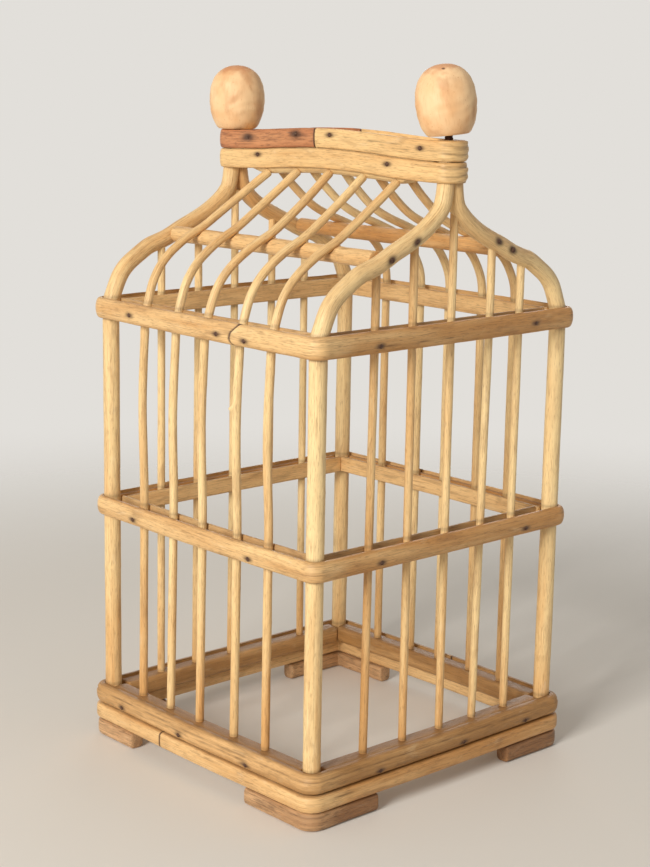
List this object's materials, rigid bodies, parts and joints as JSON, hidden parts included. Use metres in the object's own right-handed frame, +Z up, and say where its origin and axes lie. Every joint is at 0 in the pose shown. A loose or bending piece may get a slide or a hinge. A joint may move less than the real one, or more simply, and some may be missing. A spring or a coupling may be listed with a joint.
{
  "type": "bird cage",
  "caption": "Small rattan bird cage of corner posts, thin bars and split-cane hoops, with an ogee roof, a ridge, four bent feet and egg-shaped finials that turn.",
  "frame": {"origin": "on the table, in the middle between the four feet", "axes": "+Z up; the ridge and the two long sides run along X; the gables face -X and +X"},
  "size_m": [0.1926, 0.1938, 0.3729],
  "materials": {
    "straw_rattan": "pale peeled rattan with fine lengthwise grain, satin",
    "honey_rattan": "honey-coloured split cane with fine grooves, satin",
    "brown_rattan": "darker aged rattan, satin",
    "turned_wood": "bare turned wood, matt",
    "dark_iron": "dark oxidised iron nails and screws"
  },
  "bodies": {
    "cage": {"back_rib_1": "straw_rattan", "back_rib_2": "straw_rattan", "back_rib_3": "straw_rattan", "back_rib_4": "straw_rattan", "back_rib_5": "straw_rattan", "base_hoop_lower": "honey_rattan", "base_hoop_upper": "honey_rattan", "base_rail_back": "brown_rattan", "base_rail_front": "brown_rattan", "base_rail_left": "brown_rattan", "base_rail_right": "brown_rattan", "finial_screw_left": "dark_iron", "finial_screw_right": "dark_iron", "foot_back_left": "brown_rattan", "foot_back_right": "brown_rattan", "foot_front_left": "brown_rattan", "foot_front_right": "brown_rattan", "front_rib_1": "straw_rattan", "front_rib_2": "straw_rattan", "front_rib_3": "straw_rattan", "front_rib_4": "straw_rattan", "front_rib_5": "straw_rattan", "left_bar_1": "straw_rattan", "left_bar_2": "straw_rattan", "left_bar_3": "straw_rattan", "left_bar_4": "straw_rattan", "left_bar_5": "straw_rattan", "mid_filler_back": "honey_rattan", "mid_filler_front": "honey_rattan", "mid_filler_left": "honey_rattan", "mid_filler_right": "honey_rattan", "mid_hoop": "honey_rattan", "mid_inner_strip_back": "honey_rattan", "mid_inner_strip_front": "honey_rattan", "mid_inner_strip_left": "honey_rattan", "mid_inner_strip_right": "honey_rattan", "post_back_left": "straw_rattan", "post_back_right": "straw_rattan", "post_front_left": "straw_rattan", "post_front_right": "straw_rattan", "purlin_back": "honey_rattan", "purlin_front": "honey_rattan", "purlin_nail_back": "dark_iron", "purlin_nail_front": "dark_iron", "ridge_band_lower": "honey_rattan", "ridge_band_upper_left": "brown_rattan", "ridge_band_upper_right": "honey_rattan", "ridge_core": "straw_rattan", "right_bar_1": "straw_rattan", "right_bar_2": "straw_rattan", "right_bar_3": "straw_rattan", "right_bar_4": "straw_rattan", "right_bar_5": "straw_rattan", "top_hoop": "honey_rattan", "top_inner_strip_back": "honey_rattan", "top_inner_strip_front": "honey_rattan", "top_inner_strip_left": "honey_rattan", "top_inner_strip_right": "honey_rattan"},
    "left_finial": {"finial_left": "turned_wood"},
    "right_finial": {"finial_right": "turned_wood"}
  },
  "joints": [
    {"name": "left_finial_turn", "type": "hinge", "parent": "cage", "child": "left_finial", "pos_m": [-0.082, 0, 0.3348], "axis": [0, 0, 1], "continuous": true},
    {"name": "right_finial_turn", "type": "hinge", "parent": "cage", "child": "right_finial", "pos_m": [0.081, 0, 0.33855], "axis": [-0.0765, -0.0835, 0.9936], "continuous": true}
  ]
}
